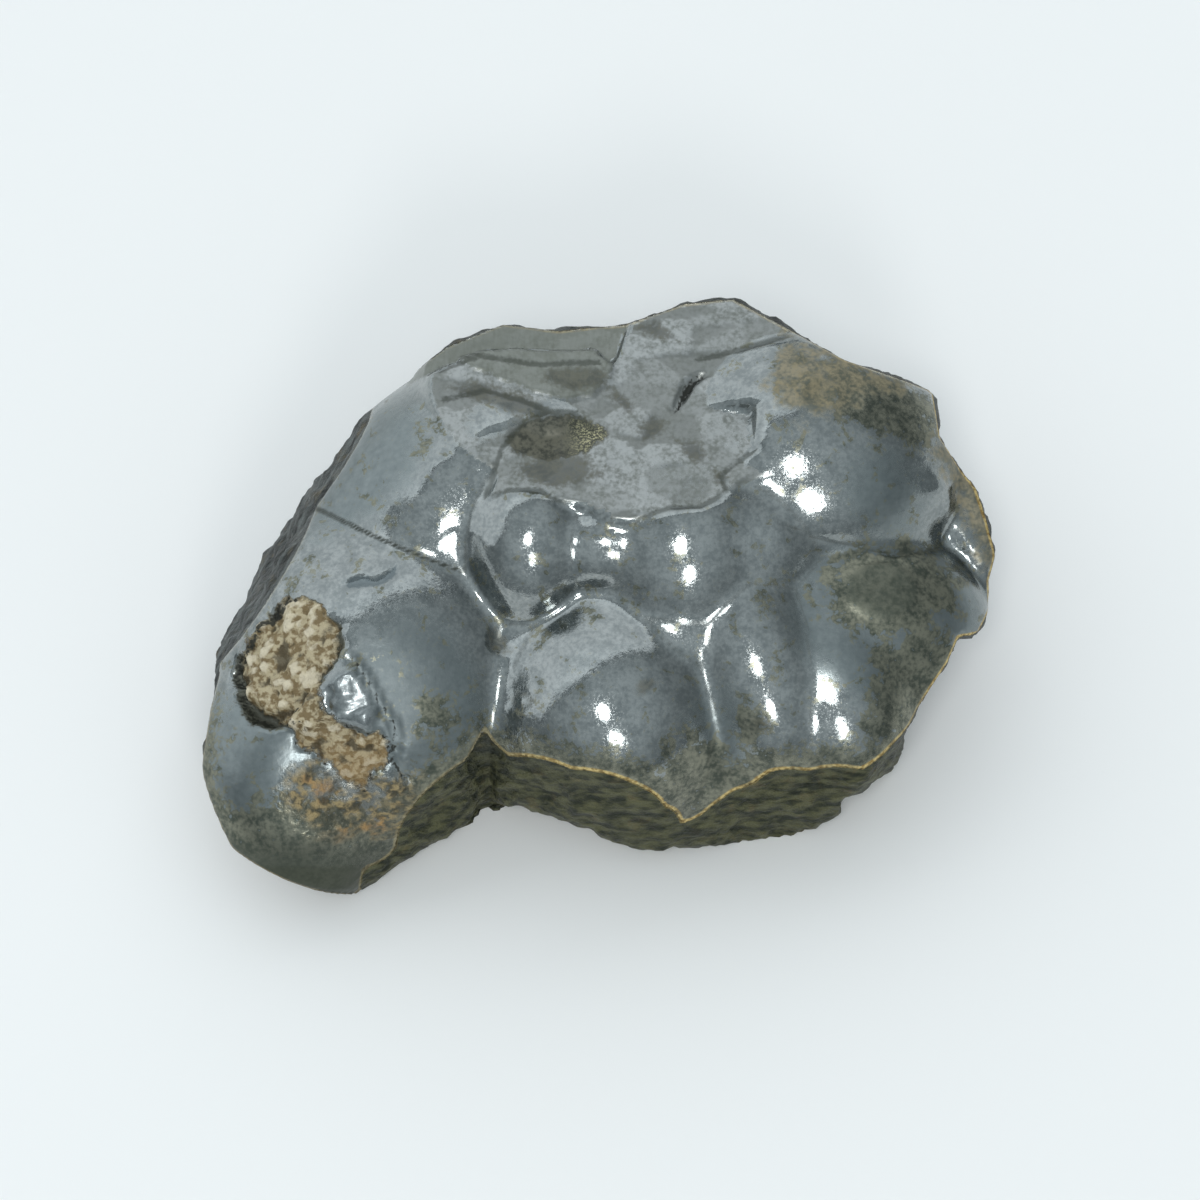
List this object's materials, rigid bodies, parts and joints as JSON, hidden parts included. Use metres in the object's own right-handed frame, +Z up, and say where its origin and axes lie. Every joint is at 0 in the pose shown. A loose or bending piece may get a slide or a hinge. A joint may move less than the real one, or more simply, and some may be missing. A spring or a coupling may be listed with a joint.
{
  "type": "botryoidal hematite",
  "caption": "Loose broken piece of botryoidal hematite: a thick crust with a glossy face of rounded domes, a pitted lobe and rough broken sides, lying on a flat break.",
  "frame": {"origin": "middle of the bounding box, at the flat break that the stone lies on", "axes": "+Z up; +X along the stone's length, from the pitted lobe to the fingers; +Y from the upright front break to the back"},
  "size_m": [0.0474, 0.0336, 0.0195],
  "materials": {
    "hematite": "mirror-bright steel grey domes with brown and ochre staining; dull olive-brown broken sides"
  },
  "bodies": {
    "root": {"hematite": "hematite"}
  },
  "joints": []
}
